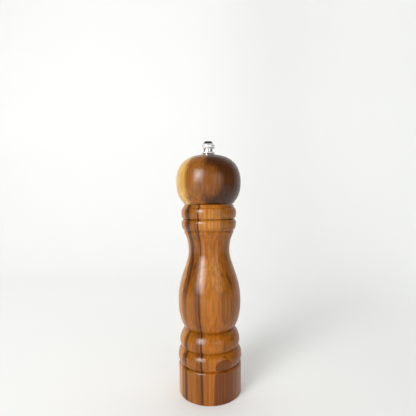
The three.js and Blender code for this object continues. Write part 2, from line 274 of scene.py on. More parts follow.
class Recipe:
    """A material's nodes, built by short calls that return an output socket."""

    def __init__(self, name):
        self.material = bpy.data.materials.new(name)
        self.material.use_nodes = True
        self.tree = self.material.node_tree
        self.shader = self.tree.nodes["Principled BSDF"]
        self.place = self.add("TexCoord").outputs["Object"]

    def add(self, kind, settings=None, **inputs):
        node = self.tree.nodes.new("ShaderNode" + kind)
        for key, value in (settings or {}).items():
            setattr(node, key, value)
        for key, value in inputs.items():
            self.put(node.inputs[key.replace("_", " ")], value)
        return node

    def put(self, socket, value):
        if isinstance(value, bpy.types.NodeSocket):
            self.tree.links.new(value, socket)
        else:
            socket.default_value = value

    def look(self, **inputs):
        """Sets or links inputs of the surface shader."""
        for key, value in inputs.items():
            self.put(self.shader.inputs[key.replace("_", " ")], value)

    def math(self, operation, a, b=0.0, c=0.0):
        node = self.add("Math", {"operation": operation})
        for socket, value in zip(node.inputs, (a, b, c)):
            self.put(socket, value)
        return node.outputs[0]

    def scaled(self, vector, factors):
        node = self.add("VectorMath", {"operation": "MULTIPLY"})
        self.put(node.inputs[0], vector)
        self.put(node.inputs[1], factors)
        return node.outputs[0]

    def noise(self, vector, scale, detail=2.0, roughness=0.5, distortion=0.0):
        node = self.add("TexNoise", Vector=vector, Scale=scale, Detail=detail)
        node.inputs["Roughness"].default_value = roughness
        node.inputs["Distortion"].default_value = distortion
        return node.outputs["Fac"]

    def step(self, value, start, end, low=0.0, high=1.0):
        """Goes smoothly from low to high as value goes from start to end."""
        node = self.add("MapRange", {"interpolation_type": "SMOOTHSTEP"})
        for key, number in (
            ("Value", value),
            ("From Min", start),
            ("From Max", end),
            ("To Min", low),
            ("To Max", high),
        ):
            self.put(node.inputs[key], number)
        return node.outputs[0]

    def step_even(self, value, start, end):
        """Goes evenly from 0 to 1 as value goes from start to end."""
        node = self.add("MapRange", Value=value)
        node.inputs["From Min"].default_value = start
        node.inputs["From Max"].default_value = end
        return node.outputs[0]

    def mix(self, factor, a, b):
        node = self.add("Mix", {"data_type": "RGBA"})
        self.put(node.inputs[0], factor)
        self.put(node.inputs[6], a)
        self.put(node.inputs[7], b)
        return node.outputs[2]

    def bump(self, height, strength, distance):
        return self.add("Bump", Height=height, Strength=strength, Distance=distance).outputs[0]


def colour(red, green, blue):
    return (red, green, blue, 1.0)


# ---- Wood -----------------------------------------------------------------------------------

# A streak's rows: height in mm, azimuth from the front and half width in degrees, and strength.
# A streak is strongest along its azimuth and fades over its half width to each side. A colour
# ramp holds the rows, so azimuths from -200 to 200 and half widths up to 80 become 0 to 1.
AZIMUTH_SPAN = 400
HALF_WIDTH_SPAN = 80
DARK_STREAKS = {
    "broad": [
        (0, -48, 6, 0.95),
        (24, -48, 6, 0.9),
        (33, -48, 6, 0.7),
        (42, -50, 7, 0.85),
        (60, -51, 6, 0.75),
        (75, -50, 7, 0.3),
        (90, -48, 7, 0.45),
        (102, -48, 7, 0.65),
        (118, -45, 8, 0.85),
        (127, -46, 10, 0.9),
        (140, -51, 12, 0.95),
        (150, -49, 10, 0.9),
        (165, -46, 8, 0.9),
        (190, -46, 8, 0.95),
    ],
    "beside": [
        (90, -54, 4, 0.1),
        (105, -54, 6, 0.7),
        (118, -54, 6, 0.6),
        (127, -57, 7, 0.8),
        (140, -60, 7, 0.75),
        (165, -53, 6, 0.85),
        (190, -51, 6, 0.75),
    ],
    "second": [(0, -58, 4, 0.6), (28, -57, 4, 0.5), (45, -56, 4, 0.4), (60, -56, 4, 0.0)],
    "thin": [
        (0, -14, 4, 0.85),
        (30, -15, 4, 0.9),
        (42, -15.5, 4, 1.0),
        (66, -18, 4, 1.0),
        (100, -19.5, 4, 0.95),
        (118, -21, 4, 0.85),
        (140, -24, 4, 0.95),
        (160, -24, 4, 0.95),
        (176, -22.5, 4, 1.0),
        (190, -21, 4, 1.0),
    ],
    "twin": [
        (0, -19, 4, 0.55),
        (45, -22, 4, 0.6),
        (66, -24, 3.5, 0.75),
        (85, -24.5, 3.5, 0.8),
        (109, -24.6, 3.5, 0.9),
        (122, -25, 3, 0.3),
        (140, -27, 3, 0.5),
        (165, -29, 3.5, 0.8),
        (190, -28, 3, 0.4),
    ],
    "band": [
        (0, -18, 9, 0.6),
        (30, -20, 11, 0.55),
        (52, -22, 12, 0.55),
        (72, -22, 12, 0.5),
        (109, -24, 12, 0.6),
        (120, -27, 12, 0.5),
        (150, -26, 11, 0.5),
        (160, -26, 11, 0.6),
        (170, -26, 9, 0.25),
        (190, -27, 9, 0.3),
    ],
    "shade": [
        (0, -36, 14, 0.0),
        (100, -36, 14, 0.1),
        (118, -37, 14, 0.4),
        (127, -37, 13, 0.65),
        (140, -34, 14, 0.4),
        (152, -36, 13, 0.2),
        (168, -34, 12, 0.45),
        (190, -35, 14, 0.3),
    ],
    "knot": [
        (104, 47, 4, 0.0),
        (113, 45, 5, 0.35),
        (118, 43, 7, 0.65),
        (125, 40, 4, 0.25),
        (136, 38, 3, 0.0),
    ],
    "back_broad": [
        (0, 122, 10, 0.6),
        (70, 128, 12, 0.7),
        (130, 120, 10, 0.75),
        (190, 126, 10, 0.7),
    ],
    "back_thin": [
        (0, 151, 4, 0.8),
        (60, 147, 5, 0.7),
        (120, 153, 4, 0.8),
        (190, 149, 4.5, 0.8),
    ],
    "left_thin": [
        (0, -101, 4, 0.5),
        (80, -96, 5, 0.6),
        (140, -104, 5, 0.5),
        (190, -99, 4, 0.6),
    ],
    "left_band": [(0, -136, 9, 0.4), (90, -142, 12, 0.5), (190, -131, 9, 0.4)],
}
PALE_FIGURE = [
    (0, 2, 40, 0.0),
    (85, 2, 40, 0.0),
    (106, 6, 38, 0.1),
    (125, 6, 34, 0.3),
    (139, 10, 30, 0.1),
    (150, 4, 36, 0.0),
    (162, 0, 50, 0.0),
    (169, 4, 54, 0.42),
    (182, 4, 54, 0.3),
    (190, 0, 60, 0.1),
]
# The brown of the waist and neck is deeper than the belly's.
NECK_SHADE = [
    (134, -8, 40, 0.0),
    (146, -10, 40, 0.14),
    (160, -12, 34, 0.12),
    (166, -12, 34, 0.0),
]
HEAD_FIGURE = [
    (190, 44, 30, 0.0),
    (203, 44, 30, 0.05),
    (212, 44, 32, 0.45),
    (221, 44, 34, 0.25),
    (240, 44, 30, 0.0),
]
HEAD_RING = [
    (190, -3, 14, 0.0),
    (197, -5, 14, 0.55),
    (204, -8, 9, 0.75),
    (210, -14, 7, 0.25),
    (216, -15, 6, 0.0),
]


def wood_place(recipe):
    """The place in millimetres, its x, y and z, and its azimuth from the front in degrees."""
    place = recipe.scaled(recipe.place, (1000, 1000, 1000))
    parts = recipe.add("SeparateXYZ", Vector=place).outputs
    toward = recipe.math("MULTIPLY", parts[1], -1.0)
    azimuth = recipe.math("DEGREES", recipe.math("ARCTAN2", parts[0], toward))
    return place, parts[0], parts[1], parts[2], azimuth


def streak(recipe, rows, azimuth, height, wander):
    """How strong one streak is, from 0 to 1."""
    low, high = rows[0][0], rows[-1][0]
    table = recipe.add("ValToRGB", Fac=recipe.step_even(height, low, high))
    stops = table.color_ramp.elements
    for i, (z, centre, half_width, strength) in enumerate(rows):
        spot = (z - low) / (high - low)
        stop = stops[i] if i < 2 else stops.new(spot)
        stop.position = spot
        stop.color = colour(0.5 + centre / AZIMUTH_SPAN, half_width / HALF_WIDTH_SPAN, strength)
    value = recipe.add("SeparateColor", Color=table.outputs[0]).outputs
    centre = recipe.math("MULTIPLY_ADD", value[0], AZIMUTH_SPAN, -AZIMUTH_SPAN / 2)
    aside = recipe.math("ADD", recipe.math("SUBTRACT", azimuth, centre), wander)
    width = recipe.math("MULTIPLY", value[1], HALF_WIDTH_SPAN)
    near = recipe.step(recipe.math("DIVIDE", recipe.math("ABSOLUTE", aside), width), 1.0, 0.15)
    return recipe.math("MULTIPLY", near, value[2])


def between(recipe, value, low_out, low_in, high_in, high_out):
    """1 from low_in to high_in, fading to 0 at low_out and high_out."""
    return recipe.math(
        "MULTIPLY",
        recipe.step(value, low_out, low_in),
        recipe.step(value, high_out, high_in),
    )


def fine_grain(recipe, place):
    """Fibres, soft figure and pores, each from 0 to 1."""
    fibres = recipe.noise(recipe.scaled(place, (1, 1, 0.018)), 0.5, detail=5.0, roughness=0.7)
    figure = recipe.noise(recipe.scaled(place, (1, 1, 0.05)), 0.16, detail=3.0, distortion=0.4)
    dashes = recipe.noise(recipe.scaled(place, (1, 1, 0.05)), 3.6, detail=1.0)
    pores = recipe.step(dashes, 0.66, 0.74)
    return fibres, figure, pores


def finish_wood(recipe, tint, fibres, pores, roughness, coat, coat_rough):
    """Lacquered wood, or bare where coat is 0; fibres and pores show in its colour and relief."""
    lighter = recipe.step(fibres, 0.3, 0.7, 0.62, 1.28)
    shade = recipe.math("MULTIPLY", lighter, recipe.math("MULTIPLY_ADD", pores, -0.28, 1.0))
    tinted = recipe.add("VectorMath", {"operation": "SCALE"})
    recipe.put(tinted.inputs[0], tint)
    recipe.put(tinted.inputs["Scale"], shade)
    relief = recipe.math("MULTIPLY_ADD", pores, -1.0, recipe.math("MULTIPLY", fibres, 0.4))
    recipe.look(
        Base_Color=tinted.outputs[0],
        Roughness=recipe.step(fibres, 0.2, 0.8, roughness - 0.04, roughness + 0.05),
        IOR=1.5,
        Specular_IOR_Level=0.05 if coat else 0.5,
        Coat_Weight=coat,
        Coat_Roughness=coat_rough,
        Normal=recipe.bump(relief, 0.25, 0.00006),
    )
    return recipe.material


BODY_FRONT = colour(0.335, 0.102, 0.005)
BODY_RIGHT = colour(0.275, 0.082, 0.004)
BODY_MIDDLE_LEFT = colour(0.285, 0.089, 0.003)
BODY_LEFT = colour(0.42, 0.165, 0.025)
BODY_PALE = colour(0.50, 0.24, 0.055)
DARK_STREAK = colour(0.045, 0.009, 0.0006)
DARK_BLOCK = colour(0.165, 0.04, 0.001)
BODY_COAT_ROUGHNESS = 0.2


def block_cut(recipe, x, y, z):
    """1 where a flat cut, which faces a little to the right, meets the dark block low in front."""
    facing = math.radians(25)
    rightward = recipe.math("MULTIPLY", x, math.sin(facing))
    across = recipe.math("SUBTRACT", rightward, recipe.math("MULTIPLY", y, math.cos(facing)))
    flat_cut = recipe.math("MULTIPLY_ADD", z, 0.022, 29.4)
    run_out = recipe.math("MULTIPLY_ADD", z, 0.1, 26.95)
    beyond = recipe.math("SUBTRACT", across, recipe.math("MAXIMUM", flat_cut, run_out))
    return recipe.step(beyond, 0.0, 0.12)


def body_wood(name, roughness, coat):
    """Orange-brown wood with dark streaks, and a darker block let in low at the front."""
    recipe = Recipe(name)
    place, x, y, z, azimuth = wood_place(recipe)
    fibres, figure, pores = fine_grain(recipe, place)
    wander = recipe.math("MULTIPLY_ADD", figure, 3.0, -1.5)
    turned_by = recipe.math("ADD", azimuth, wander)
    front = between(recipe, turned_by, -34.0, -27.0, 16.0, 28.0)
    middle_left = between(recipe, turned_by, -170.0, -120.0, -34.0, -27.0)
    left = between(recipe, turned_by, -150.0, -110.0, -62.0, -53.0)
    tint = recipe.mix(front, BODY_RIGHT, BODY_FRONT)
    tint = recipe.mix(middle_left, tint, BODY_MIDDLE_LEFT)
    tint = recipe.mix(left, tint, BODY_LEFT)
    tint = recipe.mix(streak(recipe, PALE_FIGURE, azimuth, z, wander), tint, BODY_PALE)
    dark = 0.0
    for rows in DARK_STREAKS.values():
        dark = recipe.math("MAXIMUM", dark, streak(recipe, rows, azimuth, z, wander))
    dark = recipe.math("MAXIMUM", dark, streak(recipe, NECK_SHADE, azimuth, z, wander))
    tint = recipe.mix(dark, tint, DARK_STREAK)
    tint = recipe.mix(block_cut(recipe, x, y, z), tint, DARK_BLOCK)
    return finish_wood(recipe, tint, fibres, pores, roughness, coat, BODY_COAT_ROUGHNESS)


SAPWOOD = colour(0.58, 0.335, 0.075)
HEAD_MIDDLE = colour(0.225, 0.075, 0.007)
HEAD_OVAL = colour(0.185, 0.056, 0.004)
HEAD_DARK = colour(0.05, 0.012, 0.0005)
HEAD_GLOW = colour(0.14, 0.04, 0.003)
HEAD_COAT_ROUGHNESS = 0.24


def head_wood(name, roughness, coat):
    """Brown wood with yellow sapwood on the left and an orange oval at the front."""
    recipe = Recipe(name)
    place, _, _, z, azimuth = wood_place(recipe)
    fibres, figure, pores = fine_grain(recipe, place)
    wander = recipe.math("MULTIPLY_ADD", figure, 6.0, -3.0)
    turned_by = recipe.math("ADD", azimuth, wander)
    sideways = recipe.math("DIVIDE", recipe.math("SUBTRACT", turned_by, 2.0), 21.0)
    upward = recipe.math("DIVIDE", recipe.math("SUBTRACT", z, 211.0), 15.0)
    upward_squared = recipe.math("MULTIPLY", upward, upward)
    squares = recipe.math("MULTIPLY_ADD", sideways, sideways, upward_squared)
    oval = recipe.step(recipe.math("SQRT", squares), 1.3, 0.6)
    tint = recipe.mix(streak(recipe, HEAD_FIGURE, azimuth, z, wander), HEAD_DARK, HEAD_GLOW)
    tint = recipe.mix(between(recipe, turned_by, -165.0, -140.0, -17.0, 2.0), tint, HEAD_MIDDLE)
    tint = recipe.mix(streak(recipe, HEAD_RING, azimuth, z, wander), tint, HEAD_DARK)
    tint = recipe.mix(oval, tint, HEAD_OVAL)
    tint = recipe.mix(between(recipe, turned_by, -145.0, -125.0, -55.0, -35.0), tint, SAPWOOD)
    return finish_wood(recipe, tint, fibres, pores, roughness, coat, HEAD_COAT_ROUGHNESS)


# ---- Other materials ------------------------------------------------------------------------


def chrome_look(name, tint, metallic, rough):
    """Chrome plate with a trace of handling; a lower metallic lets its pale base show as diffuse
    white, a painted bright reflection.
    """
    recipe = Recipe(name)
    smears = recipe.noise(recipe.place, 260.0, detail=3.0)
    recipe.look(
        Base_Color=tint,
        Metallic=metallic,
        Roughness=recipe.step(smears, 0.3, 0.8, rough - 0.03, rough + 0.05),
    )
    return recipe.material


def steel_look(name, tint, rough, stretch):
    """Plain satin steel with fine lines; stretch draws the lines out along one axis."""
    recipe = Recipe(name)
    lines = recipe.noise(recipe.scaled(recipe.place, stretch), 1000.0, detail=3.0)
    stains = recipe.noise(recipe.place, 180.0, detail=3.0)
    stain = colour(*(0.7 * part for part in tint[:3]))
    dull = recipe.mix(recipe.step(stains, 0.45, 0.8), tint, stain)
    recipe.look(
        Base_Color=dull,
        Metallic=1.0,
        Roughness=recipe.step(lines, 0.25, 0.75, rough - 0.07, rough + 0.1),
        Normal=recipe.bump(lines, 0.12, 0.00002),
    )
    return recipe.material


def ceramic_look():
    """Unglazed off-white ceramic with faint specks and a fine, even surface."""
    recipe = Recipe("burr_ceramic")
    specks = recipe.step(recipe.noise(recipe.place, 2600.0, detail=2.0), 0.62, 0.75)
    clouds = recipe.noise(recipe.place, 220.0, detail=2.0)
    tint = recipe.mix(clouds, colour(0.78, 0.75, 0.68), colour(0.86, 0.84, 0.79))
    recipe.look(
        Base_Color=recipe.mix(recipe.math("MULTIPLY", specks, 0.35), tint, colour(0.4, 0.36, 0.3)),
        Roughness=recipe.step(clouds, 0.3, 0.7, 0.4, 0.5),
        Normal=recipe.bump(recipe.noise(recipe.place, 1800.0), 0.15, 0.00003),
    )
    return recipe.material


def plastic_look():
    """Moulded black plastic with a fine grain."""
    recipe = Recipe("moulded_plastic")
    grain = recipe.noise(recipe.place, 1400.0, detail=2.0)
    recipe.look(
        Base_Color=recipe.mix(grain, colour(0.014, 0.014, 0.015), colour(0.028, 0.028, 0.029)),
        Roughness=recipe.step(grain, 0.3, 0.7, 0.42, 0.55),
        Normal=recipe.bump(grain, 0.2, 0.00003),
    )
    return recipe.material


body_outside = body_wood("lacquered_body_wood", 0.45, 0.68)
body_inside = body_wood("bare_body_wood", 0.6, 0.0)
head_outside = head_wood("lacquered_head_wood", 0.45, 0.72)
head_inside = head_wood("bare_head_wood", 0.6, 0.0)
chrome = chrome_look("polished_chrome", colour(0.9, 0.9, 0.89), 1.0, 0.09)
# The ball and flange chrome is partly diffuse white, a painted bright reflection.
chrome_painted_bright_reflection = chrome_look("chrome_painted_bright_reflection", colour(0.95, 0.95, 0.94), 0.6, 0.16)
# The crown's chrome is darkened in its colour, a painted dark reflection.
crown_chrome_painted_dark = chrome_look("crown_chrome_painted_dark", colour(0.42, 0.42, 0.33), 1.0, 0.16)
steel = steel_look("satin_steel", colour(0.62, 0.62, 0.63), 0.3, (1, 1, 1))
bar_steel = steel_look("drawn_bar_steel", colour(0.6, 0.6, 0.61), 0.28, (3, 3, 0.05))
spring_steel = steel_look("spring_wire", colour(0.47, 0.47, 0.48), 0.3, (2, 2, 2))
ceramic = ceramic_look()
plastic = plastic_look()

# ---- Wooden pieces --------------------------------------------------------------------------


def choose_faces(piece, material_at):
    """Gives each face the material whose number material_at says for its middle (r, z) in mm."""
    for face in piece.data.polygons:
        spot = face.center / MM
        face.material_index = material_at(math.hypot(spot.x, spot.y), spot.z)


def make_body():
    points = outline(
        (BASE_RECESS_R + 0.5, 0),
        [
            (30.4, 0),
            (30.9, 0, 31.2, 0.3, 31.2, 0.8),
            (31.6, 27.8),
            (31.6, 29.8, 31, 31, 29.2, 31),
            (30.4, 31.3, 32, 33.7, 32, 38),
            (32, 44.3, 28, 46.8, 27.4, 47),
            (28.7, 47.3, 30.2, 49.7, 30.2, 52.5),
            (30.2, 60, 25.4, 64.9, 24.3, 65.2),
            (25.2, 65.4, 31.6, 73, 31.6, 92.3),
            (31.6, 116.5, 20.8, 129.5, 20.8, 142.5),
            (20.8, 149.5, 21.9, 154.3, 24.7, 160.5),
            (25, 160.9),
            (25, 162.6),
            (24.7, 163),
            (26.4, 164, 27.7, 166.6, 27.7, 170.5),
            (27.7, 172.8, 26.8, 174.3, 24.9, 174.5),
            (26.8, 174.8, 27.9, 177.2, 27.9, 180.8),
            (27.9, 183.1, 27.5, 184.9, 26.5, 185.6),
            (25.9, 185.7),
            (26.1, 186),
            (24.9, 188.8),
            (24.2, BODY_TOP),
            (PEPPER_BORE_R + 0.5, BODY_TOP),
            (PEPPER_BORE_R, BODY_TOP - 0.5),
            (PEPPER_BORE_R, MECHANISM_BORE_TOP),
            (MECHANISM_BORE_R, MECHANISM_BORE_TOP),
            (MECHANISM_BORE_R, BASE_RECESS_TOP),
            (BASE_RECESS_R, BASE_RECESS_TOP),
            (BASE_RECESS_R, 0.5),
        ],
    )
    mesh = turned(points, WOOD_SIDES)
    piece = add_piece("turned_body", mesh, "body_shell", [body_outside, body_inside])

    def material_at(r, z):
        above_bore = MECHANISM_BORE_TOP < z < BODY_TOP - 1 and r > MECHANISM_BORE_R + 0.1
        return 0 if above_bore or r > BASE_RECESS_R + 0.1 else 1

    choose_faces(piece, material_at)


def make_head():
    points = outline(
        (HEAD_BORE_R, TENON_BOTTOM),
        [
            (TENON_R - 0.5, TENON_BOTTOM),
            (TENON_R, TENON_BOTTOM + 0.5),
            (TENON_R, HEAD_BOTTOM),
            (24.2, HEAD_BOTTOM),
            (24.9, HEAD_BOTTOM + 0.4),
            (27.4, 193.6, 32.75, 197.7, 32.75, 211.7),
            (32.75, 223.7, 28.1, 237.9, 6.6, HEAD_TOP),
            (HEAD_BORE_R, HEAD_TOP),
        ],
    )
    mesh = turned(points, WOOD_SIDES)
    piece = add_piece("turned_head", mesh, "head", [head_outside, head_inside])

    def material_at(r, z):
        at_top = z > HEAD_TOP - 3 and r > HEAD_BORE_R + 0.1
        return 0 if at_top or r > TENON_R + 0.1 else 1

    choose_faces(piece, material_at)


# ---- Knob and ferrule -----------------------------------------------------------------------


def make_knob():
    low, high = heights("adjusting_knob")
    height = high - low
    shape = outline(
        (ROUND_HOLE_R + 0.3, 0),
        [
            (6.5, 0),
            (6.8, 0.02, 7, 0.2, 7, 0.7),
            (7, 1.2, 6.7, 1.5, 6.2, 1.6),
            (5.4, 1.7, 5.05, 1.8, 5.0, 2.1),
            (5.0, 4.9),
            (5.05, 5.1, 5.4, 5.15, 5.9, 5.35),
            (6.7, 5.7, 7.1, 6.3, 7.1, 7.2),
            (7.1, 8.8, 6.3, 9.6, 5.25, 9.95),
            (5.15, 9.98, 5.1, 10.02, 5.05, 10.15),
            (4.3, height - 0.3),
            (4.25, height - 0.1, 4.15, height, 3.95, height),
            (0, height),
        ],
    )
    bore = [(0, KNOB_BORE_DEPTH), (ROUND_HOLE_R, KNOB_BORE_DEPTH), (ROUND_HOLE_R, 0.3)]
    points = [(r, low + z) for r, z in bore + shape]
    looks = [chrome, chrome_painted_bright_reflection, crown_chrome_painted_dark]
    piece = add_piece("knob", turned(points, METAL_SIDES), "adjusting_knob", looks)

    def material_at(r, z):
        at_waist = 1.7 < z - low < 5.0
        at_crown = z - low > 10.0
        # The crown takes the darkened chrome, a painted dark reflection.
        if at_crown:
            return 2
        # Outside the waist and bore the knob takes the partly white chrome, a painted bright
        # reflection.
        return 0 if at_waist or r < ROUND_HOLE_R + 0.1 else 1

    choose_faces(piece, material_at)


def make_ferrule():
    low, high = heights("head_ferrule")
    flange = high - 0.5
    inner = ROUND_HOLE_R + 0.2
    sleeve = HEAD_BORE_R - 0.3
    points = outline(
        (inner, low),
        [
            (sleeve, low),
            (sleeve, flange),
            (6.1, flange),
            (6.2, flange + 0.1, 6.15, high - 0.05, 5.8, high),
            (inner + 0.3, high),
            (inner + 0.1, high, inner, high - 0.1, inner, high - 0.3),
        ],
        curve_steps=6,
    )
    add_piece("ferrule", turned(points, METAL_SIDES), "head_ferrule", [chrome])


# ---- Shaft ----------------------------------------------------------------------------------


def thread_ring(z, outer_r, depth, pitch, sides, fade):
    """One ring of a screw thread; fade 1 is the full thread and 0 is a plain bar."""
    ring = []
    for i in range(sides):
        angle = TURN * i / sides
        phase = (z / pitch - i / sides) % 1.0
        ridge = min(1.0, 1.6 * min(phase, 1 - phase) + 0.05)
        radius = outer_r - depth * (1 - ridge) * fade - 0.35 * (1 - fade)
        ring.append((radius * math.cos(angle), radius * math.sin(angle), z))
    return ring


def thread_rings(low, high, outer_r, depth, pitch, sides):
    """A thread from low to high with a tapered start at both ends."""
    steps = round((high - low) / pitch * 8)
    rings = []
    for i in range(steps + 1):
        z = low + (high - low) * i / steps
        fade = min(1.0, (z - low) / pitch, (high - z) / pitch)
        rings.append(thread_ring(z, outer_r, depth, pitch, sides, fade))
    return rings


def make_shaft():
    low, high = heights("shaft")
    sides = SMALL_SIDES
    width, corner = SHAFT_WIDTH, SHAFT_CORNER_R
    narrow = THREAD_R - 0.35
    rings = [circle(0, low, sides), circle(narrow - 0.1, low, sides)]
    rings += thread_rings(low, SHAFT_SQUARE_BOTTOM, THREAD_R, THREAD_DEPTH, THREAD_PITCH, sides)
    rings += [
        square(width - 0.5, corner, SHAFT_SQUARE_BOTTOM, sides),
        square(width, corner, SHAFT_SQUARE_BOTTOM + 0.3, sides),
        square(width, corner, SHAFT_SQUARE_TOP - 0.3, sides),
        square(width - 0.5, corner, SHAFT_SQUARE_TOP, sides),
    ]
    rings += thread_rings(SHAFT_SQUARE_TOP, high, THREAD_R, THREAD_DEPTH, THREAD_PITCH, sides)
    rings += [circle(narrow - 0.1, high, sides), circle(0, high, sides)]
    add_piece("threaded_shaft", loft(rings, closed=False), "shaft", [bar_steel])


# ---- Screws, nut and washers ----------------------------------------------------------------


def cross_recess(x, y):
    """Depth of a cross recess at a place on a screw's head."""
    along, across = max(abs(x), abs(y)), min(abs(x), abs(y))
    side = max(0.0, min(1.0, (0.42 - across) / 0.16))
    end = max(0.0, min(1.0, (1.55 - along) / 0.5))
    return 1.0 * side * end


def make_screw(node, name):
    """A pan-head wood screw that stands head down."""
    low, high = heights(node)
    x, y = middle(node)
    seat = low + SCREW_HEAD_HEIGHT
    sides = SMALL_SIDES
    rings = []
    for i in range(15):
        r = 2.35 * i / 14
        dome = low + 0.28 * (r / 2.35) ** 3
        ring = circle(r, dome, sides)
        rings.append([(px, py, pz + cross_recess(px, py)) for px, py, pz in ring])
    rings.append(circle(SCREW_HEAD_R - 0.05, low + 0.55, sides))
    rings.append(circle(SCREW_HEAD_R, low + 0.8, sides))
    rings.append(circle(SCREW_HEAD_R, seat, sides))
    rings.append(circle(SCREW_SHANK_R, seat, sides))
    tip = high - 2
    rings += thread_rings(seat, tip, SCREW_SHANK_R, 0.36, 1.1, sides)
    rings += [circle(0.8, tip, sides), circle(0, high, sides)]
    rings = [[(px + x, py + y, pz) for px, py, pz in ring] for ring in rings]
    add_piece(name, loft(rings, closed=False), node, [steel])


def make_nut():
    """A hexagon nut: its corners are cut back by a cone above and below."""
    low, high = heights("rotor_nut")
    sides = 144
    flat_r = 4.0

    def hexagon(cut_z, direction):
        ring = []
        for i in range(sides):
            angle = TURN * i / sides
            folded = (angle + math.pi / 6) % (math.pi / 3) - math.pi / 6
            reach = flat_r / math.cos(folded)
            z = cut_z - direction * 0.6 * (reach - flat_r)
            ring.append((reach * math.cos(angle), reach * math.sin(angle), z))
        return ring

    inner = ROUND_HOLE_R
    rings = [
        circle(inner, low + 0.35, sides),
        circle(inner + 0.35, low, sides),
        circle(flat_r - 0.1, low, sides),
        hexagon(low + 0.1, -1),
        hexagon(high - 0.1, 1),
        circle(flat_r - 0.1, high, sides),
        circle(inner + 0.35, high, sides),
        circle(inner, high - 0.35, sides),
    ]
    turned_nut = [[(y, -x, z) for x, y, z in ring] for ring in rings]
    add_piece("hex_nut", loft(turned_nut, closed=True), "rotor_nut", [steel])


def make_washer(node, name, outer_r, inner_r):
    low, high = heights(node)
    edge = 0.12
    points = [
        (inner_r, low + edge),
        (inner_r + edge, low),
        (outer_r - edge, low),
        (outer_r, low + edge),
        (outer_r, high - edge),
        (outer_r - edge, high),
        (inner_r + edge, high),
        (inner_r, high - edge),
    ]
    add_piece(name, turned(points, METAL_SIDES), node, [steel])


# ---- Spring and bush ------------------------------------------------------------------------


def make_spring():
    """A coil spring with closed ends, drawn as a wire of round section along its coil."""
    low, high = heights("spring")
    wire_r, coil_r, turns = 0.5, 6.0, 4.5
    closed_turns = 0.7
    closed_rise = 0.75
    rise = high - low - 2 * wire_r
    steps_per_turn, wire_sides = 48, 16
    steps = int(turns * steps_per_turn)
    rings = []
    for i in range(steps + 1):
        turn = turns * i / steps
        if turn < closed_turns:
            z = closed_rise * turn / closed_turns
        elif turn > turns - closed_turns:
            z = rise - closed_rise * (turns - turn) / closed_turns
        else:
            middle_part = (turn - closed_turns) / (turns - 2 * closed_turns)
            z = closed_rise + (rise - 2 * closed_rise) * middle_part
        angle = TURN * turn
        ring = []
        for j in range(wire_sides):
            around = TURN * j / wire_sides
            r = coil_r + wire_r * math.cos(around)
            point_z = low + wire_r + z + wire_r * math.sin(around)
            ring.append((r * math.cos(angle), r * math.sin(angle), point_z))
        rings.append(ring)
    for end, place in ((rings[0], 0), (rings[-1], len(rings) + 1)):
        centre = tuple(sum(point[k] for point in end) / wire_sides for k in range(3))
        rings.insert(place, [centre] * wire_sides)
    mesh = loft(rings, closed=False)
    piece = add_piece("coil_spring", mesh, "spring", [spring_steel])
    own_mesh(piece)


def make_bush():
    low, high = heights("shaft_bush")
    sides = METAL_SIDES
    shoulder = low + 1.5
    hole = SQUARE_HOLE
    rings = [
        square(hole, 0.3, low + 0.3, sides),
        square(hole + 0.5, 0.5, low, sides),
        circle(7.8, low, sides),
        circle(8, low + 0.2, sides),
        circle(8, shoulder - 0.2, sides),
        circle(7.8, shoulder, sides),
        circle(5.2, shoulder, sides),
        circle(5.2, high - 0.3, sides),
        circle(4.9, high, sides),
        square(hole + 0.5, 0.5, high, sides),
        square(hole, 0.3, high - 0.3, sides),
    ]
    add_piece("square_bush", loft(rings, closed=True), "shaft_bush", [plastic])


# ---- Burrs ----------------------------------------------------------------------------------


def tooth(angle, count, twist):
    """A saw tooth, from 0 at its tip to 1 at its root."""
    phase = (count * angle / TURN + twist) % 1.0
    return phase / 0.8 if phase < 0.8 else (1 - phase) / 0.2


def burr_ring(radius, z, depth, count, twist, sides):
    ring = []
    for i in range(sides):
        angle = TURN * i / sides
        r = radius + depth * tooth(angle, count, twist)
        ring.append((r * math.cos(angle), r * math.sin(angle), z))
    return ring


def make_rotor():
    """A cone with coarse flutes above and fine teeth round its lower band."""
    low, high = heights("rotor")
    sides = 288
    hole = SQUARE_HOLE
    rings = [square(hole, 0.3, low, sides), circle(11.6, low, sides)]
    fine_top = low + 3.4
    steps = 36
    for i in range(steps + 1):
        z = low + 0.25 + (high - low - 0.5) * i / steps
        radius = 12.4 if z < low + 1.5 else 12.4 - 4.9 * (z - low - 1.5) / 8
        if z < fine_top:
            rings.append(burr_ring(radius, z, -0.55, 36, 0.22 * (z - low), sides))
        else:
            depth = -0.55 - 1.5 * min(1.0, (z - fine_top) / 2.5)
            rings.append(burr_ring(radius, z, depth, 9, 0.075 * (z - low), sides))
    rings += [circle(5.6, high, sides), square(hole, 0.3, high, sides)]
    add_piece("toothed_rotor", loft(rings, closed=True), "rotor", [ceramic])


